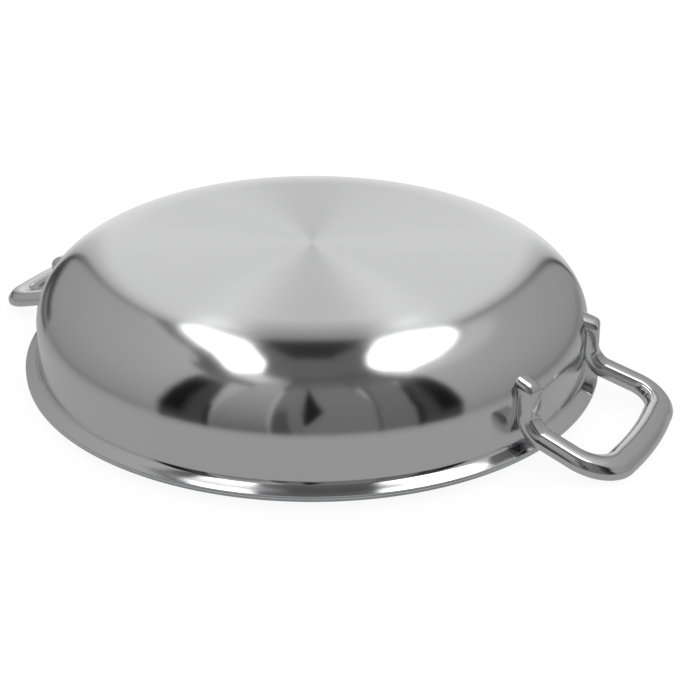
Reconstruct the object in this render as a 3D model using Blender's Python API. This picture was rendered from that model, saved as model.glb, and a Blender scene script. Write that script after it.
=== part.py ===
"""Stainless steel frying pan with two cast loop handles, lying upside down as photographed.

The pan is drawn from one clad sheet: a stainless skin outside, an aluminium core and a stainless
skin inside. The sheet has a flat base, an elliptical shoulder, an upright wall and a flared
pouring rim. Each handle is one casting whose two feet are welded to the wall. The pan lies with
its base up and stands on the grips of the handles, so the rim hangs just above the surface.
"""
import math

import bmesh
import bpy
from mathutils import Vector

MM = 0.001

# The drawn pan, measured from the lowest edge of its rim
RIM_RADIUS = 140.0 * MM
PAN_HEIGHT = 55.0 * MM
BASE_RADIUS = 86.0 * MM
SHOULDER_HEIGHT = 32.0 * MM
FLARE_WIDTH = 7.5 * MM
FLARE_ANGLE = math.radians(18.0)
FLARE_FILLET = 2.5 * MM
RIM_EDGE_RADIUS = 0.4 * MM

# The clad sheet, with the joints between its layers drawn as narrow gaps
OUTER_SKIN = 0.5 * MM
ALUMINIUM_CORE = 0.9 * MM
INNER_SKIN = 0.5 * MM
BOND_GAP = 0.3 * MM

# The loop handles, in their own frame with X pointing out of the pan
HANDLE_AZIMUTH = math.radians(-31.6)
HANDLE_TILT = math.radians(15.2)
LEG_SPLAY = math.radians(4.9)
FOOT_SPACING = 72.2 * MM
FOOT_LAP = 10.2 * MM
FOOT_BEND_HEIGHT = 18.0 * MM
FOOT_BEND_RADIUS = 10.0 * MM
FOOT_BEND_WEB = 0.8 * MM
GRIP_BEYOND_RIM = 28.0 * MM
GRIP_CORNER_RADIUS = 15.2 * MM
GRIP_BOW = 1.6 * MM
WELD_GAP = 0.3 * MM

# The bar of a handle: width at its broad back, width at its flat face and thickness
FOOT_BACK = 11.0 * MM
FOOT_FACE = 7.2 * MM
FOOT_THICKNESS = 6.4 * MM
FOOT_TIP_THICKNESS = 5.2 * MM
LEG_BACK = 12.4 * MM
LEG_FACE = 6.9 * MM
LEG_THICKNESS = 6.4 * MM
GRIP_BACK = 13.5 * MM
GRIP_FACE = 9.0 * MM
GRIP_THICKNESS = 6.9 * MM
BACK_ROUNDING = 1.4 * MM
SHOULDER_ROUNDING = 3.6 * MM
FACE_ROUNDING = 2.2 * MM

# Each side of the bar has a shoulder: its height as a share of the thickness, and how much of the
# taper from the back to the face lies below it
SHOULDER_LEVEL = 0.68
FOOT_SIDE_TAPER = 0.60
LEG_SIDE_TAPER = 0.20
GRIP_SIDE_TAPER = 0.15

# A foot's tip is an arch that slopes away from the wall: its height, its slope, and the shares of
# the foot's width and of the tip's thickness that are left at its crest
FOOT_ARCH = 3.4 * MM
FOOT_SLOPE = math.radians(20.0)
CREST_WIDTH = 0.38
CREST_THICKNESS = 0.80

# How finely round forms are cut into flats
PAN_FACETS = 64
SHOULDER_STEPS = 7
FILLET_STEPS = 3
EDGE_STEPS = 2
TIP_STEPS = 4
BEND_STEPS = 7
CORNER_STEPS = 7
GRIP_STEPS = 3
SECTION_STEPS = 2
SMOOTH_BELOW = math.radians(35.0)
MERGE_DISTANCE = 0.01 * MM

FOOT_BAR = (FOOT_BACK, FOOT_FACE, FOOT_THICKNESS, FOOT_SIDE_TAPER)
LEG_BAR = (LEG_BACK, LEG_FACE, LEG_THICKNESS, LEG_SIDE_TAPER)
GRIP_BAR = (GRIP_BACK, GRIP_FACE, GRIP_THICKNESS, GRIP_SIDE_TAPER)
SHEET = OUTER_SKIN + BOND_GAP + ALUMINIUM_CORE + BOND_GAP + INNER_SKIN
WALL_RADIUS = RIM_RADIUS - FLARE_WIDTH
SHOULDER_FOOT = PAN_HEIGHT - SHOULDER_HEIGHT
FOOT_TOP = SHOULDER_FOOT + FOOT_LAP


def clear_scene():
    for item in list(bpy.data.objects):
        bpy.data.objects.remove(item, do_unlink=True)


def metal(name, colour, roughness):
    material = bpy.data.materials.new(name)
    material.use_nodes = True
    shader = material.node_tree.nodes["Principled BSDF"]
    shader.inputs["Base Color"].default_value = (*colour, 1.0)
    shader.inputs["Metallic"].default_value = 1.0
    shader.inputs["Roughness"].default_value = roughness
    return material


def add_object(name, mesh, material, parent):
    data = bpy.data.meshes.new(name)
    mesh.to_mesh(data)
    mesh.free()
    data.shade_smooth()
    data.set_sharp_from_angle(angle=SMOOTH_BELOW)
    data.materials.append(material)
    item = bpy.data.objects.new(name, data)
    bpy.context.collection.objects.link(item)
    item.parent = parent
    return item


def fillet(before, corner, after, radius, steps):
    """Points of the arc that rounds a corner of a flat outline."""
    before = Vector(before)
    corner = Vector(corner)
    after = Vector(after)
    back = (before - corner).normalized()
    ahead = (after - corner).normalized()
    half = back.angle(ahead) / 2
    run = radius / math.tan(half)
    centre = corner + (back + ahead).normalized() * (radius / math.sin(half))
    start = corner + back * run - centre
    end = corner + ahead * run - centre
    sweep = math.pi - 2 * half
    points = []
    for step in range(steps + 1):
        share = step / steps
        from_start = math.sin((1 - share) * sweep)
        from_end = math.sin(share * sweep)
        points.append(tuple(centre + (start * from_start + end * from_end) / math.sin(sweep)))
    return points


def sheet_line(depth):
    """Radius and height along the pan at a depth below its outer surface, from axis to rim.

    The base is flat, the shoulder a quarter of an ellipse, and the flare meets the upright wall
    in a fillet, whose radius grows with the depth because the sheet bends outwards there.
    """
    line = [(0.0, PAN_HEIGHT - depth)]
    shoulder_width = WALL_RADIUS - BASE_RADIUS
    for step in range(SHOULDER_STEPS + 1):
        angle = math.pi / 2 * (1 - step / SHOULDER_STEPS)
        point = Vector((shoulder_width * math.cos(angle), SHOULDER_HEIGHT * math.sin(angle)))
        normal = Vector((math.cos(angle) / shoulder_width, math.sin(angle) / SHOULDER_HEIGHT))
        point -= normal.normalized() * depth
        line.append((BASE_RADIUS + point.x, SHOULDER_FOOT + point.y))
    rim = (RIM_RADIUS, (SHEET - depth) / math.cos(FLARE_ANGLE))
    wall_radius = WALL_RADIUS - depth
    corner_height = rim[1] + (RIM_RADIUS - wall_radius) * math.tan(FLARE_ANGLE)
    corner = (wall_radius, corner_height)
    line += fillet(line[-1], corner, rim, FLARE_FILLET + depth, FILLET_STEPS)
    line.append(rim)
    return line


def layer_outline(outer_depth, inner_depth):
    """Closed half outline of one layer, with the two outermost corners of the rim rounded."""
    outer = sheet_line(outer_depth)
    inner = sheet_line(inner_depth)
    outer_rim = outer[-1]
    inner_rim = inner[-1]
    if outer_depth == 0.0:
        outer[-1:] = fillet(outer[-2], outer_rim, inner_rim, RIM_EDGE_RADIUS, EDGE_STEPS)
    if inner_depth == SHEET:
        inner[-1:] = reversed(fillet(outer_rim, inner_rim, inner[-2], RIM_EDGE_RADIUS, EDGE_STEPS))
    return outer + inner[::-1]


def face_outwards(mesh):
    bmesh.ops.recalc_face_normals(mesh, faces=mesh.faces)
    if mesh.calc_volume(signed=True) < 0:
        bmesh.ops.reverse_faces(mesh, faces=mesh.faces)


def turned(outline):
    """Spin a half outline that starts and ends on the axis into one closed body."""
    mesh = bmesh.new()
    verts = [mesh.verts.new((radius, 0.0, height)) for radius, height in outline]
    edges = [mesh.edges.new(pair) for pair in zip(verts, verts[1:])]
    bmesh.ops.spin(mesh, geom=verts + edges, cent=(0, 0, 0), axis=(0, 0, 1),
                   angle=math.tau, steps=PAN_FACETS, use_merge=True)
    bmesh.ops.remove_doubles(mesh, verts=mesh.verts, dist=MERGE_DISTANCE)
    face_outwards(mesh)
    return mesh


def make_pan(parent):
    polished = metal("polished_stainless", (0.60, 0.60, 0.61), 0.12)
    satin = metal("satin_stainless", (0.58, 0.58, 0.59), 0.30)
    aluminium = metal("aluminium", (0.80, 0.81, 0.82), 0.45)
    core_top = OUTER_SKIN + BOND_GAP
    core_bottom = core_top + ALUMINIUM_CORE
    add_object("outer_skin", turned(layer_outline(0.0, OUTER_SKIN)), polished, parent)
    add_object("aluminium_core", turned(layer_outline(core_top, core_bottom)), aluminium, parent)
    add_object("inner_skin", turned(layer_outline(core_bottom + BOND_GAP, SHEET)), satin, parent)


def mixed(first, second, share):
    return first + (second - first) * share


def mixed_bar(first, second, share):
    return [mixed(*pair, share) for pair in zip(first, second)]


def bar_section(bar, seat=0.0, web=0.0):
    """Outline of the bar across its run: a broad back, sides with shoulders and a flat face.

    The first axis runs across the bar and the second towards its face. A seat stretches the back
    into the wall, where the wall's own curve then trims it. A web lifts the face. The roundings
    shrink with the thickness, and with the face where that is narrower than a foot's.
    """
    back_width, face_width, thickness, side_taper = bar
    half_back = back_width / 2
    half_face = face_width / 2
    half_shoulder = mixed(half_back, half_face, side_taper)
    low = -thickness / 2 - seat
    middle = (SHOULDER_LEVEL - 0.5) * thickness
    high = thickness / 2 + web
    side = [(half_back, low), (half_shoulder, middle), (half_face, high)]
    corners = side + [(-x, y) for x, y in reversed(side)]
    scale = min(thickness / GRIP_THICKNESS, face_width / FOOT_FACE)
    radii = [BACK_ROUNDING * scale, SHOULDER_ROUNDING * scale, FACE_ROUNDING * scale]
    radii += reversed(radii)
    points = []
    for index, corner in enumerate(corners):
        after = corners[(index + 1) % len(corners)]
        points += fillet(corners[index - 1], corner, after, radii[index], SECTION_STEPS)
    return points


def handle_half():
    """Stations of half a handle from a foot's tip to the middle of the grip.

    Each station is a point, the direction of the bar, the way that its flat face looks, and its
    section. X runs outwards from the pan, Y along the grip and Z up from the rim's lowest edge.
    """
    down = Vector((0, 0, -1))
    outwards = Vector((math.cos(HANDLE_TILT), 0, -math.sin(HANDLE_TILT)))
    sideways = Vector((0, 1, 0))
    plane = Vector((math.sin(HANDLE_TILT), 0, math.cos(HANDLE_TILT)))
    leg = math.cos(LEG_SPLAY) * outwards + math.sin(LEG_SPLAY) * sideways
    heading = (leg - leg.dot(down) * down).normalized()

    # The foot stands square on the wall, and its tip is an arch whose crest slopes outwards
    foot_y = FOOT_SPACING / 2
    seat_radius = WALL_RADIUS + WELD_GAP
    wall_normal = Vector((math.sqrt(seat_radius ** 2 - foot_y ** 2), foot_y, 0)) / seat_radius
    foot = wall_normal * (seat_radius + FOOT_THICKNESS / 2)
    seat = FOOT_THICKNESS
    lean = down * math.cos(FOOT_SLOPE) - wall_normal * math.sin(FOOT_SLOPE)
    stations = []
    for step in range(TIP_STEPS + 1):
        share = step / TIP_STEPS
        width = math.sqrt(1 - (1 - CREST_WIDTH ** 2) * (1 - share) ** 2)
        thickness = FOOT_TIP_THICKNESS * mixed(CREST_THICKNESS, 1.0, share)
        point = foot - wall_normal * (FOOT_THICKNESS - thickness) / 2
        point.z = FOOT_TOP - thickness / 2 * math.sin(FOOT_SLOPE) - FOOT_ARCH * share
        bar = (FOOT_BACK * width, FOOT_FACE * width, thickness, FOOT_SIDE_TAPER)
        stations.append((point, lean, wall_normal, bar_section(bar, seat)))

    # The bend turns the foot outwards into the leg
    turn = down.angle(leg)
    bend_start = Vector((foot.x, foot.y, FOOT_BEND_HEIGHT))
    for step in range(BEND_STEPS + 1):
        share = step / BEND_STEPS
        angle = turn * share
        across = FOOT_BEND_RADIUS * (1 - math.cos(angle))
        point = bend_start + down * FOOT_BEND_RADIUS * math.sin(angle) + heading * across
        direction = down * math.cos(angle) + heading * math.sin(angle)
        face = wall_normal.lerp(heading, share) * math.cos(angle) - down * math.sin(angle)
        face = face.lerp(plane, share).normalized()
        web = FOOT_BEND_WEB * math.sin(math.pi * share) ** 2
        section = bar_section(mixed_bar(FOOT_BAR, LEG_BAR, share), seat * (1 - share) ** 4, web)
        stations.append((point, direction, face, section))

    # The corner turns the leg into the grip, which is broader
    leg_start = stations[-1][0]
    corner_turn = math.pi / 2 + LEG_SPLAY
    grip_x = RIM_RADIUS + GRIP_BEYOND_RIM
    vertex = leg_start + leg * ((grip_x - leg_start.x) / leg.x)
    arc_start = vertex - leg * (GRIP_CORNER_RADIUS * math.tan(corner_turn / 2))
    inwards = (leg.dot(sideways) * leg - sideways).normalized()
    for step in range(CORNER_STEPS + 1):
        share = step / CORNER_STEPS
        angle = corner_turn * share
        across = GRIP_CORNER_RADIUS * (1 - math.cos(angle))
        point = arc_start + leg * GRIP_CORNER_RADIUS * math.sin(angle) + inwards * across
        direction = leg * math.cos(angle) + inwards * math.sin(angle)
        section = bar_section(mixed_bar(LEG_BAR, GRIP_BAR, share))
        stations.append((point, direction, plane, section))

    # The grip bows outwards a little and stays level
    grip_end = stations[-1][0]
    for step in range(1, GRIP_STEPS + 1):
        share = 1 - step / GRIP_STEPS
        bow = GRIP_BOW * (1 - share ** 2)
        slope = 2 * GRIP_BOW * share / grip_end.y
        direction = Vector((slope, -1, 0)).normalized()
        point = Vector((grip_end.x + bow, grip_end.y * share, grip_end.z))
        section = bar_section(GRIP_BAR)
        stations.append((point, direction, plane, section))
    return stations


def ring_points(station):
    point, direction, face, section = station
    across = direction.cross(face).normalized()
    upright = across.cross(direction).normalized()
    return [point + across * x + upright * y for x, y in section]


def handle_rings():
    """Rings of the whole loop: one half, and the same half mirrored in the middle of the grip."""
    half = [ring_points(station) for station in handle_half()]
    mirrored = [[Vector((p.x, -p.y, p.z)) for p in ring] for ring in half[:-1]]
    return half + mirrored[::-1]


def lofted(rings):
    """Bridge rings of equal counts into one closed body with capped ends."""
    mesh = bmesh.new()
    loops = [[mesh.verts.new(point) for point in ring] for ring in rings]
    for first, second in zip(loops, loops[1:]):
        for index in range(len(first)):
            after = (index + 1) % len(first)
            mesh.faces.new((first[index], first[after], second[after], second[index]))
    mesh.faces.new(loops[0][::-1])
    mesh.faces.new(loops[-1])
    face_outwards(mesh)
    return mesh


def make_handles(parent, rings):
    """Both handles, each seated on the wall by cutting it with the pan's own outer shape."""
    cast = metal("cast_stainless", (0.56, 0.56, 0.57), 0.14)
    seat_shape = sheet_line(-WELD_GAP)
    cutter = add_object("wall_cutter", turned(seat_shape + [(0.0, seat_shape[-1][1])]), cast, parent)
    cutter.hide_render = True
    cutter.display_type = "WIRE"
    for name, azimuth in (("handle_right", HANDLE_AZIMUTH), ("handle_left", HANDLE_AZIMUTH + math.pi)):
        handle = add_object(name, lofted(rings), cast, parent)
        handle.rotation_euler.z = azimuth
        cut = handle.modifiers.new("seat on the wall", "BOOLEAN")
        cut.operation = "DIFFERENCE"
        cut.solver = "EXACT"
        cut.object = cutter


clear_scene()
loop_rings = handle_rings()
lowest = min(point.z for ring in loop_rings for point in ring)
rim_level = bpy.data.objects.new("rim_level", None)
rim_level.location.z = -lowest
bpy.context.collection.objects.link(rim_level)
make_pan(rim_level)
make_handles(rim_level, loop_rings)
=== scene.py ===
"""Looks for the frying pan: fine pan and handles, metal finishes, camera, floor and studio.

The pan lies base up on a white surface, as it was photographed. Its three clad layers are turned
from one sheet line, and its two loop handles are lofted and seated on the wall.
"""
import math
from collections import namedtuple

import bmesh
import bpy
from mathutils import Matrix, Vector


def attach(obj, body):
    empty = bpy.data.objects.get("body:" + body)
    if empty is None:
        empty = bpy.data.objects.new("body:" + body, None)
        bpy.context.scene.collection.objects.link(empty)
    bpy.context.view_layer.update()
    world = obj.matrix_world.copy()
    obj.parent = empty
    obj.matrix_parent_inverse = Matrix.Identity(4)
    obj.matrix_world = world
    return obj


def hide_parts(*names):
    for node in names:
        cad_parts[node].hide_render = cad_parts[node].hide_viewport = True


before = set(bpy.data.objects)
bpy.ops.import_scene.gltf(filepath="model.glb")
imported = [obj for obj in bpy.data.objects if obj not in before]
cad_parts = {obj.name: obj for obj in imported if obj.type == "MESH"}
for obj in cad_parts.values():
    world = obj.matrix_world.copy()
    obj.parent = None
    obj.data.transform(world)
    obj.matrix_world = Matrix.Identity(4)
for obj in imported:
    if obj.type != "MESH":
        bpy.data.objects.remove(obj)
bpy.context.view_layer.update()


# Camera
# The photograph looks down on the upturned pan at about 27 degrees, with a long lens. One handle
# points to the right and towards the camera, and the other lies behind the pan on the left.

camera_data = bpy.data.cameras.new("camera")
camera_data.sensor_width = 36.0
camera_data.lens = 66.08
camera_data.shift_x = 0.041
camera_data.clip_start = 0.01
camera_data.clip_end = 100.0
camera = bpy.data.objects.new("camera", camera_data)
camera.location = (0.0, -0.5555, 0.28364)
aim = Vector((0.0, 0.0, 0.00721))
camera.rotation_euler = (aim - camera.location).to_track_quat("-Z", "Y").to_euler()
bpy.context.collection.objects.link(camera)
bpy.context.scene.camera = camera


# Outer skin
# The outer stainless layer of the clad sheet, drawn in a press: flat base, curved shoulder,
# upright wall and flared pouring rim. The base is finely turned, and the rest is buffed bright.

MM = 0.001
# The rim hangs clear of the surface, because the pan stands on the grips of its handles
RIM_LIFT = 4.4437 * MM
RIM_RADIUS = 139.5 * MM
PAN_HEIGHT = 55.0 * MM
BASE_RADIUS = 86.0 * MM
SHOULDER_HEIGHT = 32.0 * MM
WALL_RADIUS = 132.5 * MM
WALL_SPREAD = 1.2 * MM
FLARE_START = math.radians(24.0)
FLARE_END = math.radians(20.0)
FLARE_WIDTH_OUTSIDE = 3.3 * MM
FLARE_FILLET = 2.2 * MM
FLARE_BOW = 30.0 * MM
SHEET = 2.5 * MM
RIM_EDGE_RADIUS = 0.15 * MM
OUTER_DEPTH = 0.64 * MM
SEAM = 0.03 * MM
FACETS_ROUND = 384


def mixed(first, second, share):
    """The value that lies a share of the way from the first to the second."""
    return first + (second - first) * share


def fillet(before, corner, after, radius, steps):
    """Points of the arc that rounds a corner of a flat outline."""
    before, corner, after = Vector(before), Vector(corner), Vector(after)
    back = (before - corner).normalized()
    ahead = (after - corner).normalized()
    half = back.angle(ahead) / 2
    run = radius / math.tan(half)
    centre = corner + (back + ahead).normalized() * (radius / math.sin(half))
    start = corner + back * run - centre
    end = corner + ahead * run - centre
    sweep = math.pi - 2 * half
    points = []
    for step in range(steps + 1):
        share = step / steps
        turned_part = start * math.sin((1 - share) * sweep) + end * math.sin(share * sweep)
        points.append(tuple(centre + turned_part / math.sin(sweep)))
    return points


def sheet_line(depth, shoulder_steps=56, fillet_steps=12, flare_steps=6):
    """Radius and height along the sheet at a depth below its outer face, from axis to rim."""
    base_shares = (0.0, 0.3, 0.6, 0.9, 0.98, 0.995)
    wall_shares = (0.15, 0.3, 0.45, 0.6, 0.75)
    line = [(BASE_RADIUS * share, PAN_HEIGHT - depth) for share in base_shares]
    width = WALL_RADIUS - BASE_RADIUS
    for step in range(shoulder_steps + 1):
        angle = math.pi / 2 * (1 - step / shoulder_steps)
        point = Vector((width * math.cos(angle), SHOULDER_HEIGHT * math.sin(angle)))
        normal = Vector((math.cos(angle) / width, math.sin(angle) / SHOULDER_HEIGHT))
        point -= normal.normalized() * depth
        line.append((BASE_RADIUS + point.x, PAN_HEIGHT - SHOULDER_HEIGHT + point.y))
    rim = (RIM_RADIUS, (SHEET - depth) / math.cos(FLARE_END))
    middle = (RIM_RADIUS - FLARE_WIDTH_OUTSIDE, rim[1] + FLARE_WIDTH_OUTSIDE * math.tan(FLARE_END))
    wall = WALL_RADIUS + WALL_SPREAD - depth
    corner = (wall, middle[1] + (middle[0] - wall) * math.tan(FLARE_START))
    shoulder_foot = line[-1]
    for share in wall_shares:
        line.append((shoulder_foot[0] + WALL_SPREAD * share ** 2,
                     mixed(shoulder_foot[1], corner[1], share)))
    line += fillet(line[-1], corner, middle, FLARE_FILLET + depth, fillet_steps)
    line += fillet(corner, middle, rim, FLARE_BOW + depth, flare_steps)
    line.append(rim)
    return line


def layer_outline(outer_depth, inner_depth, edge_steps=6):
    """Closed half outline of one layer, with the outermost corners of the rim rounded."""
    outer = sheet_line(outer_depth)
    inner = sheet_line(inner_depth)
    outer_rim, inner_rim = outer[-1], inner[-1]
    if outer_depth == 0.0:
        outer[-1:] = fillet(outer[-2], outer_rim, inner_rim, RIM_EDGE_RADIUS, edge_steps)
    if inner_depth == SHEET:
        inner[-1:] = fillet(outer_rim, inner_rim, inner[-2], RIM_EDGE_RADIUS, edge_steps)[::-1]
    return outer + inner[::-1]


def add_node(tree, kind, inputs=None, **settings):
    """Add a node, set its properties, and set or link its inputs."""
    item = tree.nodes.new(kind)
    for name, value in settings.items():
        setattr(item, name, value)
    for name, value in (inputs or {}).items():
        if isinstance(value, bpy.types.NodeSocket):
            tree.links.new(value, item.inputs[name])
        else:
            item.inputs[name].default_value = value
    return item


def turning_tree():
    """Geometry nodes that spin a half outline, given as a line of points, round the Z axis."""
    tree = bpy.data.node_groups.new("turned layer", "GeometryNodeTree")
    sockets = tree.interface
    sockets.new_socket("Outline", in_out="INPUT", socket_type="NodeSocketGeometry")
    sockets.new_socket("Facets", in_out="INPUT", socket_type="NodeSocketInt")
    sockets.new_socket("Finish", in_out="INPUT", socket_type="NodeSocketMaterial")
    sockets.new_socket("Layer", in_out="OUTPUT", socket_type="NodeSocketGeometry")
    given = add_node(tree, "NodeGroupInput").outputs
    size = add_node(tree, "GeometryNodeAttributeDomainSize", {"Geometry": given["Outline"]})
    columns = add_node(tree, "ShaderNodeMath", {0: given["Facets"], 1: 1.0}, operation="ADD")
    grid = add_node(tree, "GeometryNodeMeshGrid", {
        "Vertices X": size.outputs["Point Count"], "Vertices Y": columns.outputs[0]})
    index = add_node(tree, "GeometryNodeInputIndex").outputs[0]
    ratio = add_node(tree, "ShaderNodeMath", {0: index, 1: columns.outputs[0]}, operation="DIVIDE")
    row = add_node(tree, "ShaderNodeMath", {0: ratio.outputs[0]}, operation="FLOOR")
    column = add_node(tree, "ShaderNodeMath", {0: index, 1: columns.outputs[0]}, operation="MODULO")
    turn = add_node(tree, "ShaderNodeMath", {0: column.outputs[0], 1: given["Facets"]},
                    operation="DIVIDE")
    angle = add_node(tree, "ShaderNodeMath", {0: turn.outputs[0], 1: math.tau},
                     operation="MULTIPLY")
    place = add_node(tree, "GeometryNodeInputPosition").outputs[0]
    outline_point = add_node(tree, "GeometryNodeSampleIndex", data_type="FLOAT_VECTOR")
    tree.links.new(given["Outline"], outline_point.inputs["Geometry"])
    tree.links.new(place, outline_point.inputs["Value"])
    tree.links.new(row.outputs[0], outline_point.inputs["Index"])
    turned_point = add_node(tree, "ShaderNodeVectorRotate", {
        "Vector": outline_point.outputs["Value"], "Angle": angle.outputs[0]},
        rotation_type="Z_AXIS")
    placed = add_node(tree, "GeometryNodeSetPosition", {
        "Geometry": grid.outputs["Mesh"], "Position": turned_point.outputs[0]})
    closed = add_node(tree, "GeometryNodeMergeByDistance", {
        "Geometry": placed.outputs[0], "Distance": 0.001 * MM})
    real = add_node(tree, "GeometryNodeRealizeInstances", {"Geometry": closed.outputs[0]})
    finished = add_node(tree, "GeometryNodeSetMaterial", {
        "Geometry": real.outputs[0], "Material": given["Finish"]})
    add_node(tree, "NodeGroupOutput", {"Layer": finished.outputs[0]})
    return tree


def face_outwards(mesh):
    """Turn every face of a closed mesh to look out of it."""
    build = bmesh.new()
    build.from_mesh(mesh)
    bmesh.ops.recalc_face_normals(build, faces=build.faces)
    if build.calc_volume(signed=True) < 0:
        bmesh.ops.reverse_faces(build, faces=build.faces)
    build.to_mesh(mesh)
    build.free()


def plain_piece(maker, name):
    """Replace an object by a plain mesh of what its modifiers make."""
    view = bpy.context.evaluated_depsgraph_get()
    mesh = bpy.data.meshes.new_from_object(maker.evaluated_get(view))
    bpy.data.objects.remove(maker, do_unlink=True)
    mesh.name = name
    piece = bpy.data.objects.new(name, mesh)
    bpy.context.collection.objects.link(piece)
    return piece


turning = turning_tree()


def turned_piece(name, outline, finish=None):
    """A smooth piece turned from the radius and height of its half outline, axis to axis."""
    points = [(radius, 0.0, height + RIM_LIFT) for radius, height in outline]
    mesh = bpy.data.meshes.new(name + " outline")
    mesh.from_pydata(points, [(i, i + 1) for i in range(len(points) - 1)], [])
    maker = bpy.data.objects.new(name + " maker", mesh)
    bpy.context.collection.objects.link(maker)
    spin = maker.modifiers.new("turn", "NODES")
    spin.node_group = turning
    for item in turning.interface.items_tree:
        if item.name == "Facets":
            spin[item.identifier] = FACETS_ROUND
        if item.name == "Finish" and finish:
            spin[item.identifier] = finish
    piece = plain_piece(maker, name)
    face_outwards(piece.data)
    piece.data.shade_smooth()
    return piece


def linear(hex_colour):
    """An sRGB hex colour as the linear colour that a shader takes."""
    parts = [int(hex_colour[i:i + 2], 16) / 255 for i in (1, 3, 5)]
    light = [p / 12.92 if p <= 0.04045 else ((p + 0.055) / 1.055) ** 2.4 for p in parts]
    return (*light, 1.0)


def new_metal(name, hex_colour):
    """A metal material, its tree and its shader."""
    material = bpy.data.materials.new(name)
    material.use_nodes = True
    tree = material.node_tree
    shader = tree.nodes["Principled BSDF"]
    shader.inputs["Base Color"].default_value = linear(hex_colour)
    shader.inputs["Metallic"].default_value = 1.0
    return material, tree, shader


# Stainless steel, its base turned in fine rings and the rest buffed. The rings stretch every
# reflection on the base towards and away from its centre. The real ones are too fine to show, so
# the bump draws them coarser, and the shader's own stretch does the rest.
TURNED_RADIUS = 80.0 * MM
BUFFED_RADIUS = 97.0 * MM
RINGS_FULL_RADIUS = 88.0 * MM
RINGS_GONE_RADIUS = 102.0 * MM
RINGS_PER_MM = 1.4

polished, tree, shader = new_metal("stainless_turned_and_buffed", "#CDCDCE")
place = add_node(tree, "ShaderNodeTexCoord").outputs["Object"]
flat_place = add_node(tree, "ShaderNodeVectorMath", {0: place, 1: (1.0, 1.0, 0.0)},
                      operation="MULTIPLY")
radius = add_node(tree, "ShaderNodeVectorMath", {0: flat_place.outputs[0]}, operation="LENGTH")
around = add_node(tree, "ShaderNodeVectorMath", {0: (0.0, 0.0, 1.0), 1: flat_place.outputs[0]},
                  operation="CROSS_PRODUCT")
along = add_node(tree, "ShaderNodeVectorMath", {0: around.outputs[0]}, operation="NORMALIZE")
tree.links.new(along.outputs[0], shader.inputs["Tangent"])
shader.inputs["Anisotropic"].default_value = 0.92
shader.inputs["Anisotropic Rotation"].default_value = 0.25
turned_share = add_node(tree, "ShaderNodeMapRange", {
    "Value": radius.outputs["Value"], "From Min": TURNED_RADIUS, "From Max": BUFFED_RADIUS,
    "To Min": 1.0, "To Max": 0.0}, interpolation_type="SMOOTHSTEP")
rings = add_node(tree, "ShaderNodeTexNoise", {
    "W": radius.outputs["Value"], "Scale": RINGS_PER_MM / MM, "Detail": 3.0, "Roughness": 0.7},
    noise_dimensions="1D")
ring_share = add_node(tree, "ShaderNodeMapRange", {
    "Value": radius.outputs["Value"], "From Min": RINGS_FULL_RADIUS,
    "From Max": RINGS_GONE_RADIUS, "To Min": 1.0, "To Max": 0.0}, interpolation_type="SMOOTHSTEP")
ring_depth = add_node(tree, "ShaderNodeMath", {
    0: rings.outputs["Fac"], 1: ring_share.outputs[0]}, operation="MULTIPLY")
rough = add_node(tree, "ShaderNodeMapRange", {
    "Value": turned_share.outputs[0], "To Min": 0.12, "To Max": 0.16})
rough_rings = add_node(tree, "ShaderNodeMapRange", {
    "Value": ring_depth.outputs[0], "To Min": 0.0, "To Max": 0.10})
rough_sum = add_node(tree, "ShaderNodeMath", {
    0: rough.outputs[0], 1: rough_rings.outputs[0]}, operation="ADD")
tree.links.new(rough_sum.outputs[0], shader.inputs["Roughness"])
ring_bump = add_node(tree, "ShaderNodeBump", {
    "Height": ring_depth.outputs[0], "Strength": 0.34, "Distance": 0.02 * MM})
tree.links.new(ring_bump.outputs[0], shader.inputs["Normal"])

outer_skin = turned_piece("outer_skin_fine", layer_outline(0.0, OUTER_DEPTH), polished)
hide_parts("outer_skin")
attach(outer_skin, "root")


# Aluminium core
# The middle layer of the clad sheet is plain aluminium, rolled and bonded between the two skins.
# It shows only at the trimmed rim, as the middle band of the edge.

INNER_DEPTH = SHEET - OUTER_DEPTH

# Bare aluminium, left as the trimming wheel leaves it: dull, with a fine uneven grain
GRAINS_PER_MM = 0.9

core_finish, tree, shader = new_metal("aluminium_trimmed", "#D9DADC")
place = add_node(tree, "ShaderNodeTexCoord").outputs["Object"]
grain = add_node(tree, "ShaderNodeTexNoise", {
    "Vector": place, "Scale": GRAINS_PER_MM / MM, "Detail": 2.0})
grain_rough = add_node(tree, "ShaderNodeMapRange", {
    "Value": grain.outputs["Fac"], "To Min": 0.34, "To Max": 0.50})
tree.links.new(grain_rough.outputs[0], shader.inputs["Roughness"])

core_outline = layer_outline(OUTER_DEPTH + SEAM, INNER_DEPTH - SEAM)
core = turned_piece("aluminium_core_fine", core_outline, core_finish)
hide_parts("aluminium_core")
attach(core, "root")


# Inner skin
# The cooking face: the inner stainless layer of the same sheet, brushed to a satin in rings
# round the axis. It faces down here, and its edge closes the rim on the inside.

# Stainless steel brushed while it turns, so its lines run round the axis on the base and the wall.
# They are drawn coarser than the real ones, which are too fine to show.
LINES_PER_MM = 1.1

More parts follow.
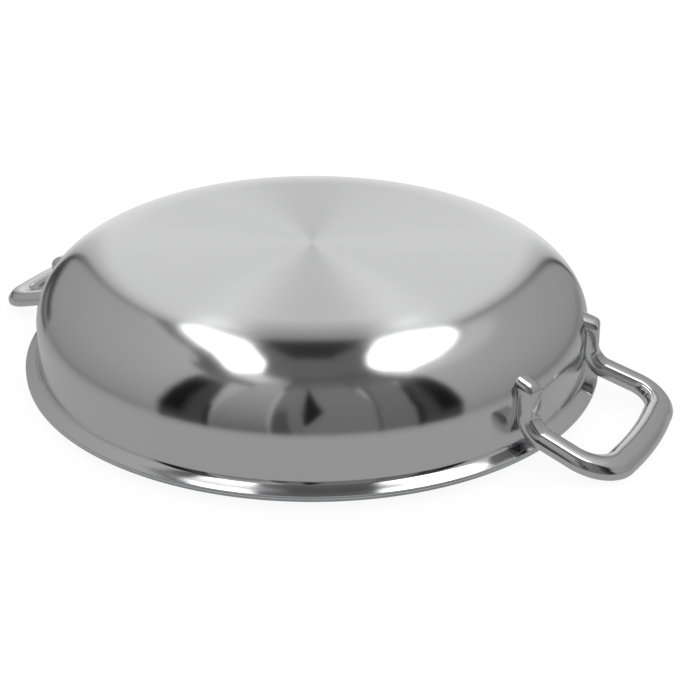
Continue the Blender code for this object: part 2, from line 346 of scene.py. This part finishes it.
satin, tree, shader = new_metal("stainless_satin_brushed", "#C9C9CA")
place = add_node(tree, "ShaderNodeTexCoord").outputs["Object"]
flat_place = add_node(tree, "ShaderNodeVectorMath", {0: place, 1: (1.0, 1.0, 0.0)},
                      operation="MULTIPLY")
radius = add_node(tree, "ShaderNodeVectorMath", {0: flat_place.outputs[0]}, operation="LENGTH")
height = add_node(tree, "ShaderNodeSeparateXYZ", {0: place})
across = add_node(tree, "ShaderNodeMath", {
    0: radius.outputs["Value"], 1: height.outputs["Z"]}, operation="SUBTRACT")
lines = add_node(tree, "ShaderNodeTexNoise", {
    "W": across.outputs[0], "Scale": LINES_PER_MM / MM, "Detail": 4.0, "Roughness": 0.7},
    noise_dimensions="1D")
line_rough = add_node(tree, "ShaderNodeMapRange", {
    "Value": lines.outputs["Fac"], "To Min": 0.22, "To Max": 0.38})
tree.links.new(line_rough.outputs[0], shader.inputs["Roughness"])
line_bump = add_node(tree, "ShaderNodeBump", {
    "Height": lines.outputs["Fac"], "Strength": 0.3, "Distance": 0.02 * MM})
tree.links.new(line_bump.outputs[0], shader.inputs["Normal"])

inner_skin = turned_piece("inner_skin_fine", layer_outline(INNER_DEPTH, SHEET), satin)
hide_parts("inner_skin")
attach(inner_skin, "root")


# Loop handles
# Two identical investment castings in stainless steel, welded to the wall by their feet, ground
# and buffed bright. The bar has a broad flat back, sides with shoulders and a crowned outer face.

# Heights of the handle count from the edge of the rim, and RIM_LIFT is added to the finished loop
HANDLE_AZIMUTH = math.radians(-31.6)
HANDLE_TILT = math.radians(15.2)
LEG_SPLAY = math.radians(4.9)
FOOT_SPACING = 72.2 * MM
FOOT_TOP = 32.9 * MM
FOOT_BEND_HEIGHT = 18.0 * MM
FOOT_BEND_RADIUS = 10.0 * MM
FOOT_BEND_WEB = 0.3 * MM
GRIP_BEYOND_RIM = 28.5 * MM
GRIP_CORNER_RADIUS = 15.2 * MM
GRIP_BOW = 1.6 * MM
SEAT_GAP = 0.03 * MM
FOOT_SEAT = 0.4 * MM
TIP_RISE = 2.0 * MM
FOOT_TIP_THICKNESS = 5.4 * MM
FOOT_ARCH = 3.0 * MM
ARCH_FULLNESS = 2.0
FOOT_SLOPE = math.radians(16.0)
FOOT_LEAN = math.radians(5.0)
CREST_WIDTH = 0.10
CREST_THICKNESS = 0.50
CROWN_RADIUS = 10.0 * MM
SECTION_STEPS = 5
SHARP_FROM = math.radians(30.0)

# Level is where the shoulder lies between back and face, and taper how much of the narrowing to the
# face is done there. Rise is the height of the face's crown, the rounds are the radii of the edges,
# and shift is how far the face lies towards the inside of the loop.
Bar = namedtuple("Bar", "back face thickness level taper rise back_round shoulder_round "
                        "face_round shift")
FOOT_BAR = Bar(back=12.0 * MM, face=8.2 * MM, thickness=5.8 * MM, level=0.50, taper=0.50,
               rise=0.2 * MM, back_round=0.8 * MM, shoulder_round=2.0 * MM, face_round=2.0 * MM,
               shift=0.4 * MM)
LEG_BAR = Bar(back=12.4 * MM, face=6.9 * MM, thickness=6.2 * MM, level=0.68, taper=0.20,
              rise=0.4 * MM, back_round=1.8 * MM, shoulder_round=3.4 * MM, face_round=3.2 * MM,
              shift=0.0)
GRIP_BAR = Bar(back=13.5 * MM, face=8.0 * MM, thickness=6.9 * MM, level=0.60, taper=0.15,
               rise=0.7 * MM, back_round=2.0 * MM, shoulder_round=3.4 * MM, face_round=3.2 * MM,
               shift=1.0 * MM)


def mixed_bar(first, second, share):
    """The bar that lies a share of the way from one to another."""
    return Bar(*(mixed(*pair, share) for pair in zip(first, second)))


def bar_section(bar, seat=0.0, web=0.0):
    """Outline across the bar, with its back lowered by the seat and its face raised by the web."""
    half_back, half_face = bar.back / 2, bar.face / 2
    half_shoulder = mixed(half_back, half_face, bar.taper)
    low = -bar.thickness / 2 - seat
    shoulder = (bar.level - 0.5) * bar.thickness
    top = bar.thickness / 2 + web
    shift, part_shift = bar.shift, bar.shift * bar.taper
    corners = [(half_back, low), (part_shift + half_shoulder, shoulder), (shift + half_face, top),
               (shift, top + bar.rise),
               (shift - half_face, top), (part_shift - half_shoulder, shoulder), (-half_back, low)]
    radii = [bar.back_round, bar.shoulder_round, bar.face_round]
    radii += [CROWN_RADIUS] + radii[::-1]
    points = []
    for index, corner in enumerate(corners):
        after = corners[(index + 1) % len(corners)]
        points += fillet(corners[index - 1], corner, after, radii[index], SECTION_STEPS)
    return points


def foot_seat(height):
    """How far a foot reaches in behind its back, more where the pan's shoulder falls away."""
    above = max(0.0, height - (PAN_HEIGHT - SHOULDER_HEIGHT)) / SHOULDER_HEIGHT
    return FOOT_SEAT + (WALL_RADIUS - BASE_RADIUS) * (1 - math.sqrt(1 - above ** 2))


def handle_half(tip_steps=12, shank_steps=6, bend_steps=24, corner_steps=24, grip_steps=8):
    """Stations of half a handle from a foot's tip to the middle of the grip.

    Each has a point, the direction of the bar, the way that its face looks, and its outline.
    """
    down = Vector((0, 0, -1))
    outwards = Vector((math.cos(HANDLE_TILT), 0, -math.sin(HANDLE_TILT)))
    sideways = Vector((0, 1, 0))
    plane = Vector((math.sin(HANDLE_TILT), 0, math.cos(HANDLE_TILT)))
    leg = math.cos(LEG_SPLAY) * outwards + math.sin(LEG_SPLAY) * sideways
    heading = (leg - leg.dot(down) * down).normalized()
    foot_thickness = FOOT_BAR.thickness

    foot_y = FOOT_SPACING / 2
    seat_radius = WALL_RADIUS + SEAT_GAP
    wall_normal = Vector((math.sqrt(seat_radius ** 2 - foot_y ** 2), foot_y, 0)) / seat_radius
    foot = wall_normal * (seat_radius + foot_thickness / 2)
    inner_side = Vector((wall_normal.y, -wall_normal.x, 0))
    lean = down * math.cos(FOOT_SLOPE) - wall_normal * math.sin(FOOT_SLOPE)
    lean = lean * math.cos(FOOT_LEAN) - inner_side * math.sin(FOOT_LEAN)
    stations = []
    for step in range(tip_steps + 1):
        rise = math.cos(math.pi / 2 * step / tip_steps) ** (2 / ARCH_FULLNESS)
        share = 1 - rise
        width = mixed(CREST_WIDTH, 1.0, (1 - rise ** ARCH_FULLNESS) ** (1 / ARCH_FULLNESS))
        fullness = mixed(CREST_THICKNESS, 1.0, math.sqrt(1 - rise ** 2))
        thickness = FOOT_TIP_THICKNESS * fullness
        point = foot - wall_normal * (foot_thickness - thickness) / 2
        point.z = FOOT_TOP - thickness / 2 * math.sin(FOOT_SLOPE) - FOOT_ARCH * share
        scale = min(width, fullness)
        bar = FOOT_BAR._replace(
            back=FOOT_BAR.back * width, face=FOOT_BAR.face * width, thickness=thickness,
            rise=FOOT_BAR.rise * scale, back_round=FOOT_BAR.back_round * scale,
            shoulder_round=FOOT_BAR.shoulder_round * scale,
            face_round=FOOT_BAR.face_round * scale, shift=FOOT_BAR.shift * width)
        section = bar_section(bar, foot_seat(point.z + TIP_RISE))
        stations.append((point, lean, wall_normal, section))
    tip_end = stations[-1][0].copy()
    for step in range(1, shank_steps):
        share = step / shank_steps
        point = tip_end.lerp(Vector((foot.x, foot.y, FOOT_BEND_HEIGHT)), share)
        bar = FOOT_BAR._replace(thickness=mixed(FOOT_TIP_THICKNESS, foot_thickness, share))
        stations.append((point, lean.lerp(down, share).normalized(), wall_normal,
                         bar_section(bar, foot_seat(point.z))))

    turn = down.angle(leg)
    bend_start = Vector((foot.x, foot.y, FOOT_BEND_HEIGHT))
    for step in range(bend_steps + 1):
        share = step / bend_steps
        angle = turn * share
        across = FOOT_BEND_RADIUS * (1 - math.cos(angle))
        point = bend_start + down * FOOT_BEND_RADIUS * math.sin(angle) + heading * across
        direction = down * math.cos(angle) + heading * math.sin(angle)
        face = wall_normal.lerp(heading, share) * math.cos(angle) - down * math.sin(angle)
        face = face.lerp(plane, share).normalized()
        web = FOOT_BEND_WEB * math.sin(math.pi * share) ** 2
        bar = mixed_bar(FOOT_BAR, LEG_BAR, share)
        section = bar_section(bar, FOOT_SEAT * (1 - share) ** 4, web)
        stations.append((point, direction, face, section))

    leg_start = stations[-1][0]
    corner_turn = math.pi / 2 + LEG_SPLAY
    grip_x = RIM_RADIUS + GRIP_BEYOND_RIM
    vertex = leg_start + leg * ((grip_x - leg_start.x) / leg.x)
    arc_start = vertex - leg * (GRIP_CORNER_RADIUS * math.tan(corner_turn / 2))
    inwards = (leg.dot(sideways) * leg - sideways).normalized()
    for step in range(corner_steps + 1):
        share = step / corner_steps
        angle = corner_turn * share
        across = GRIP_CORNER_RADIUS * (1 - math.cos(angle))
        point = arc_start + leg * GRIP_CORNER_RADIUS * math.sin(angle) + inwards * across
        direction = leg * math.cos(angle) + inwards * math.sin(angle)
        bar = mixed_bar(LEG_BAR, GRIP_BAR, share)
        stations.append((point, direction, plane, bar_section(bar)))

    grip_end = stations[-1][0]
    for step in range(1, grip_steps + 1):
        share = 1 - step / grip_steps
        slope = 2 * GRIP_BOW * share / grip_end.y
        direction = Vector((slope, -1, 0)).normalized()
        bow = GRIP_BOW * (1 - share ** 2)
        point = Vector((grip_end.x + bow, grip_end.y * share, grip_end.z))
        stations.append((point, direction, plane, bar_section(GRIP_BAR)))
    return stations


def ring_points(station):
    """The points of a station's outline, stood across the bar."""
    point, direction, face, section = station
    across = direction.cross(face).normalized()
    upright = across.cross(direction).normalized()
    return [point + across * x + upright * y for x, y in section]


half_loop = [ring_points(station) for station in handle_half()]
other_half = [[Vector((p.x, -p.y, p.z)) for p in ring] for ring in half_loop[:-1]]
loop_rings = half_loop + other_half[::-1]

# Stainless casting, ground and buffed by hand: bright, but softer than the sheet. Low waves are
# left by the grinding belt, and fine grit by the buffing paste.
WAVES_PER_MM = 0.16
GRIT_PER_MM = 1.5

cast, tree, shader = new_metal("stainless_casting_buffed", "#CDCDCE")
place = add_node(tree, "ShaderNodeTexCoord").outputs["Object"]
waves = add_node(tree, "ShaderNodeTexNoise", {
    "Vector": place, "Scale": WAVES_PER_MM / MM, "Detail": 2.0})
grit = add_node(tree, "ShaderNodeTexNoise", {
    "Vector": place, "Scale": GRIT_PER_MM / MM, "Detail": 2.0})
grit_rough = add_node(tree, "ShaderNodeMapRange", {
    "Value": grit.outputs["Fac"], "To Min": 0.10, "To Max": 0.18})
tree.links.new(grit_rough.outputs[0], shader.inputs["Roughness"])
hand_bump = add_node(tree, "ShaderNodeBump", {
    "Height": waves.outputs["Fac"], "Strength": 0.3, "Distance": 0.1 * MM})
tree.links.new(hand_bump.outputs[0], shader.inputs["Normal"])


def closed_loft(rings):
    """A closed mesh through rings of points, capped at both ends."""
    build = bmesh.new()
    loops = [[build.verts.new(point) for point in ring] for ring in rings]
    for first, second in zip(loops, loops[1:]):
        for index in range(len(first)):
            after = (index + 1) % len(first)
            build.faces.new((first[index], first[after], second[after], second[index]))
    build.faces.new(loops[0][::-1])
    build.faces.new(loops[-1])
    mesh = bpy.data.meshes.new("loop")
    build.to_mesh(mesh)
    build.free()
    face_outwards(mesh)
    return mesh


# The pan's outer face, grown by the gap of the seat, cuts the backs of the feet to its own shape
seat_line = sheet_line(-SEAT_GAP)
seat_line.append((0.0, seat_line[-1][1]))
seat_cutter = turned_piece("seat cutter", seat_line)

for name, azimuth in (("handle_right", HANDLE_AZIMUTH), ("handle_left", HANDLE_AZIMUTH + math.pi)):
    mesh = closed_loft(loop_rings)
    mesh.transform(Matrix.Rotation(azimuth, 4, "Z"))
    mesh.transform(Matrix.Translation((0, 0, RIM_LIFT)))
    mesh.materials.append(cast)
    maker = bpy.data.objects.new(name + " maker", mesh)
    bpy.context.collection.objects.link(maker)
    cut = maker.modifiers.new("seat", "BOOLEAN")
    cut.operation = "DIFFERENCE"
    cut.solver = "EXACT"
    cut.object = seat_cutter
    handle = plain_piece(maker, name + "_fine")
    handle.data.shade_smooth()
    handle.data.set_sharp_from_angle(angle=SHARP_FROM)
    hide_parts(name)
    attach(handle, "root")
bpy.data.objects.remove(seat_cutter, do_unlink=True)


# Floor and studio
# A white surface under the pan, and round it the light tent that the metal mirrors: a pale back
# panel, two softboxes, grey side walls, darker front screens and the dark slots between them.

FLOOR_REACH = 3.0
PAPER_GREY = 0.12
PAPER_GLOW = 0.90
PAINTED_FLOOR_REFLECTION_GLOW = 0.49
MIRRORED_FULL_RADIUS = 0.17
MIRRORED_GONE_RADIUS = 0.36

floor_mesh = bpy.data.meshes.new("floor")
floor_mesh.from_pydata([(-FLOOR_REACH, -FLOOR_REACH, 0), (FLOOR_REACH, -FLOOR_REACH, 0),
                        (FLOOR_REACH, FLOOR_REACH, 0), (-FLOOR_REACH, FLOOR_REACH, 0)],
                       [], [(0, 1, 2, 3)])
floor = bpy.data.objects.new("floor", floor_mesh)
bpy.context.collection.objects.link(floor)

# White paper: the camera sees it as white that keeps the pan's shadow. Metal mirrors instead a
# darker sheet of painted light, an even grey glow in place of the lit paper, that keeps no shadow
# and ends soon after the pan, as in the photograph, where the tent follows beyond it.
paper = bpy.data.materials.new("floor_paper")
paper.use_nodes = True
tree = paper.node_tree
shader = tree.nodes["Principled BSDF"]
shader.inputs["Base Color"].default_value = (PAPER_GREY, PAPER_GREY, PAPER_GREY, 1.0)
shader.inputs["Roughness"].default_value = 1.0
shader.inputs["Specular IOR Level"].default_value = 0.0
shader.inputs["Emission Color"].default_value = (1.0, 1.0, 1.0, 1.0)
shader.inputs["Emission Strength"].default_value = PAPER_GLOW
place = add_node(tree, "ShaderNodeTexCoord").outputs["Object"]
away = add_node(tree, "ShaderNodeVectorMath", {0: place}, operation="LENGTH")
# Painted reflection of the floor: an even grey glow, seen by all but the camera, in place of the
# lit paper round the pan
painted_floor_reflection = add_node(tree, "ShaderNodeEmission", {"Strength": PAINTED_FLOOR_REFLECTION_GLOW})
beyond = add_node(tree, "ShaderNodeMapRange", {
    "Value": away.outputs["Value"], "From Min": MIRRORED_FULL_RADIUS,
    "From Max": MIRRORED_GONE_RADIUS}, interpolation_type="SMOOTHSTEP")
sheet = add_node(tree, "ShaderNodeMixShader", {
    0: beyond.outputs[0], 1: painted_floor_reflection.outputs[0],
    2: add_node(tree, "ShaderNodeBsdfTransparent").outputs[0]})
seen = add_node(tree, "ShaderNodeLightPath").outputs["Is Camera Ray"]
paper_look = add_node(tree, "ShaderNodeMixShader", {
    0: seen, 1: sheet.outputs[0], 2: shader.outputs[0]})
tree.links.new(paper_look.outputs[0], tree.nodes["Material Output"].inputs["Surface"])
paper.cycles.emission_sampling = "NONE"
floor_mesh.materials.append(paper)


FARTHEST_CARD = 6.0
CARD_SPACING = 0.1
BRIGHT_CARD = 0.9
LOWEST = -26.0


def along_edge(edge, share):
    """The direction a share of the way along an edge of bearings and heights in degrees."""
    place = share * (len(edge) - 1)
    index = min(int(place), len(edge) - 2)
    part = place - index
    return [math.radians(mixed(edge[index][axis], edge[index + 1][axis], part)) for axis in (0, 1)]


def card_finish(name, glow, soft):
    """Light from a card, graded from its lower to its upper edge, and fading at its edges.

    Soft holds the share of the width and of the height over which it fades. Bright cards are
    sampled as lamps are, so that their reflections come out clean.
    """
    material = bpy.data.materials.new(name)
    material.use_nodes = True
    material.cycles.emission_sampling = "FRONT_BACK" if max(glow) > BRIGHT_CARD else "NONE"
    tree = material.node_tree
    tree.nodes.clear()
    place = add_node(tree, "ShaderNodeSeparateXYZ", {
        0: add_node(tree, "ShaderNodeUVMap", uv_map="card").outputs[0]})
    strength = add_node(tree, "ShaderNodeMapRange", {
        "Value": place.outputs["Y"], "To Min": glow[0], "To Max": glow[1]})
    light = add_node(tree, "ShaderNodeEmission", {"Strength": strength.outputs[0]})
    share = light.outputs[0]
    for axis, width in zip("XY", soft):
        if width:
            from_middle = add_node(tree, "ShaderNodeMath", {0: place.outputs[axis], 1: 0.5},
                                   operation="SUBTRACT")
            off = add_node(tree, "ShaderNodeMath", {0: from_middle.outputs[0]},
                           operation="ABSOLUTE")
            fade = add_node(tree, "ShaderNodeMapRange", {
                "Value": off.outputs[0], "From Min": 0.5 - width, "From Max": 0.5,
                "To Min": 1.0, "To Max": 0.0}, interpolation_type="SMOOTHSTEP")
            clear = add_node(tree, "ShaderNodeBsdfTransparent")
            share = add_node(tree, "ShaderNodeMixShader", {
                0: fade.outputs[0], 1: clear.outputs[0], 2: share}).outputs[0]
    add_node(tree, "ShaderNodeOutputMaterial", {"Surface": share})
    return material


cards_hung = []


def card(name, glow, lower, upper, soft=(0.0, 0.0)):
    """Hang a card that only reflections see, in front of all the cards hung before it.

    Its lower and upper edges are lists of bearings and heights in degrees, seen from the pan, and
    its glow is its strength at those two edges.
    """
    columns = 12 * (max(len(lower), len(upper)) - 1)
    rows = 10
    distance = FARTHEST_CARD - CARD_SPACING * len(cards_hung)
    points, faces, spots = [], [], []
    for column in range(columns + 1):
        low_end = along_edge(lower, column / columns)
        high_end = along_edge(upper, column / columns)
        for row in range(rows + 1):
            bearing, height = (mixed(*pair, row / rows) for pair in zip(low_end, high_end))
            points.append((distance * math.cos(height) * math.cos(bearing),
                           distance * math.cos(height) * math.sin(bearing),
                           distance * math.sin(height)))
            spots.append((column / columns, row / rows))
    for column in range(columns):
        for row in range(rows):
            corner = column * (rows + 1) + row
            faces.append((corner, corner + rows + 1, corner + rows + 2, corner + 1))
    mesh = bpy.data.meshes.new(name)
    mesh.from_pydata(points, [], faces)
    layer = mesh.uv_layers.new(name="card")
    for loop in mesh.loops:
        layer.data[loop.index].uv = spots[loop.vertex_index]
    mesh.materials.append(card_finish(name, glow, soft))
    item = bpy.data.objects.new(name, mesh)
    bpy.context.collection.objects.link(item)
    item.visible_camera = False
    item.visible_diffuse = False
    item.visible_transmission = False
    item.visible_volume_scatter = False
    item.visible_shadow = False
    cards_hung.append(item)


def all_round(height):
    """A level edge right round the pan."""
    return [(-180, height), (0, height), (180, height)]


# Tent: pale side walls and a darker crown
card("tent_walls", (0.30, 0.58), all_round(LOWEST), all_round(64))
card("wall_low", (0.38, 0.34), all_round(LOWEST), all_round(6), (0.0, 0.4))
card("tent_crown", (0.16, 0.18), all_round(62), all_round(89.9))
card("crown_front", (0.11, 0.14), [(-130, 60), (-15, 60)], [(-130, 84), (-15, 84)], (0.1, 0.3))

# Back of the tent: a bright panel between two seams, and above it the dark gap between the boxes
card("back_sides", (0.55, 0.62), [(61, LOWEST), (117, LOWEST)], [(61, 48), (117, 48)], (0.04, 0.0))
card("back_panel", (0.92, 0.94), [(63, LOWEST), (115, LOWEST)], [(63, 50), (115, 50)], (0.16, 0.08))
card("gap_low", (0.85, 0.20), [(85, 26), (95, 26)], [(72, 62), (108, 62)], (0.25, 0.15))
card("gap_high", (0.022, 0.035), [(72, 54), (108, 54)], [(70, 79), (110, 79)], (0.22, 0.14))
card("panel_glow_left", (1.25, 1.25), [(95, 31), (102, 34)], [(99, 46), (108, 48)], (0.4, 0.4))
card("panel_glow_right", (1.25, 1.25), [(85, 31), (78, 34)], [(81, 46), (72, 48)], (0.4, 0.4))

# Left softbox, with the dark seam under it that runs down beside the back panel
card("box_spill_left", (0.55, 0.7), [(112, 38), (125, 44), (140, 54), (152, 60), (175, 62)],
     [(113, 47), (124, 54), (140, 64), (152, 67), (175, 68)], (0.1, 0.4))
card("seam_left", (0.09, 0.09),
     [(118.5, -20), (118, 20), (118.5, 42), (124.5, 48), (133, 54), (143, 59.5), (156, 62.5),
      (190, 64)],
     [(115, -20), (114.5, 20), (114.5, 47), (123, 54), (131, 60), (141, 65), (155, 68.5),
      (190, 70)], (0.05, 0.5))
card("box_end_left", (0.55, 1.2), [(256, 64), (225, 64), (200, 66), (185, 68)],
     [(256, 77), (225, 78), (200, 80), (185, 81)], (0.3, 0.4))
card("softbox_left", (3.5, 3.5),
     [(108, 52), (109, 46.5), (113, 45), (117, 48), (122.5, 53.5), (130, 59.5), (140, 65),
      (152.5, 68), (165, 69.5), (198, 70.5)],
     [(107.5, 56), (109, 62), (113, 67.5), (120, 72.5), (130, 77), (140, 79), (152.5, 80),
      (165, 80.5), (180, 80), (198, 79)], (0.03, 0.15))

# Right softbox, with the seam beside the back panel
card("seam_right", (0.07, 0.07),
     [(60.5, -20), (60, 20), (59, 46)], [(64.5, -20), (64, 20), (64, 49)], (0.05, 0.5))
card("box_spill_right", (0.6, 0.8), [(60, 38), (40, 42), (20, 48), (-10, 56), (-25, 60)],
     [(60, 50), (40, 56), (20, 62), (-10, 68), (-25, 72)], (0.1, 0.4))
card("box_end_right", (0.8, 0.8),
     [(0, 60), (-12, 60), (-28, 59)], [(0, 78), (-12, 77), (-28, 75)], (0.4, 0.35))
card("softbox_right", (3.5, 3.5),
     [(73, 54), (71, 50.5), (61, 48), (52.5, 50), (40, 54.5), (27.5, 58.5), (15, 61.5), (0, 65),
      (-9, 66)],
     [(73.5, 57), (71.5, 61), (67, 67), (60, 72), (50, 75.4), (34, 78), (15, 78.8), (2, 77.5),
      (-9, 74)], (0.03, 0.14))

# Front of the tent: darker screens either side of the slot for the camera
card("front_left_far", (0.10, 0.55),
     [(-129, LOWEST), (-104, LOWEST)], [(-129, 80), (-108, 80)], (0.10, 0.16))
card("front_left_near", (0.15, 0.27),
     [(-105, LOWEST), (-91, LOWEST)], [(-106, 78), (-91, 78)], (0.0, 0.2))
card("front_left_shade", (0.085, 0.11),
     [(-105, LOWEST), (-96, LOWEST)], [(-105, 44), (-100, 44)], (0.15, 0.3))
card("front_right_near", (0.20, 0.27),
     [(-93, LOWEST), (-64, LOWEST)], [(-93, 80), (-64, 80)], (0.0, 0.2))
card("front_right_far", (0.16, 0.24),
     [(-66, LOWEST), (-50, LOWEST)], [(-62, 78), (-36, 78)], (0.08, 0.2))
card("front_right_seam", (0.10, 0.15), [(-67, -20), (-66.5, 20), (-64, 48), (-57, 70)],
     [(-63, -20), (-62.5, 20), (-60, 48), (-52, 72)], (0.1, 0.5))
card("camera_slot", (0.014, 0.014),
     [(-92.5, 4), (-83.5, 32), (-92, 68)], [(-93, 3), (-95.5, 32), (-93, 69)], (0.15, 0.3))

# Open slots where the front screens meet the side walls
card("slot_left_wide", (0.085, 0.065),
     [(-151, -24), (-150, 8), (-151.5, 30), (-155.5, 45), (-168, 64)],
     [(-127, -24), (-127, 8), (-128.5, 30), (-131.5, 45), (-142, 68)], (0.14, 0.16))
card("slot_left_core", (0.010, 0.008),
     [(-151, -8), (-153, 25), (-157, 42), (-166, 63)],
     [(-134, -8), (-136, 25), (-139, 42), (-146, 66)], (0.22, 0.35))
card("slot_left_edge", (0.022, 0.035), [(-131.5, -22), (-131.5, 10), (-133, 32)],
     [(-127, -22), (-127, 10), (-129, 32)], (0.2, 0.45))
card("slot_right_wide", (0.075, 0.065),
     [(-31.5, -24), (-31, 8), (-29, 30), (-25, 46), (-16, 66)],
     [(-52.5, -24), (-52, 8), (-50.5, 30), (-46.5, 48), (-33, 70)], (0.14, 0.16))
card("slot_right_core", (0.010, 0.008),
     [(-30.5, -4), (-29, 25), (-25.5, 42), (-17, 64)],
     [(-45, -4), (-44, 25), (-41, 42), (-31, 66)], (0.22, 0.35))
card("slot_right_edge", (0.022, 0.035), [(-47.5, -22), (-47, 10), (-45.5, 34), (-37, 62)],
     [(-52.5, -22), (-52, 10), (-50.5, 34), (-42, 64)], (0.2, 0.45))

# Shaded feet of the side walls, and the dark corner that the left part of the rim mirrors
card("foot_of_wall_right", (0.28, 0.28), [(-16, -8), (58, -8)], [(-16, 1), (58, 1)], (0.1, 0.5))
card("wall_corner_left", (0.06, 0.06), [(114, -16), (144, -14)], [(114, 9), (144, 6)], (0.2, 0.3))
card("foot_of_wall_left", (0.31, 0.31), [(120, -8), (208, -8)], [(120, 0), (208, 0)], (0.1, 0.5))

# Even white light from all around, for the paper and for what the cards leave open
world = bpy.data.worlds.new("white surroundings")
bpy.context.scene.world = world
world.use_nodes = True
world.node_tree.nodes["Background"].inputs["Color"].default_value = (1.0, 1.0, 1.0, 1.0)
world.node_tree.nodes["Background"].inputs["Strength"].default_value = 1.0
bpy.context.scene.view_settings.view_transform = "Standard"
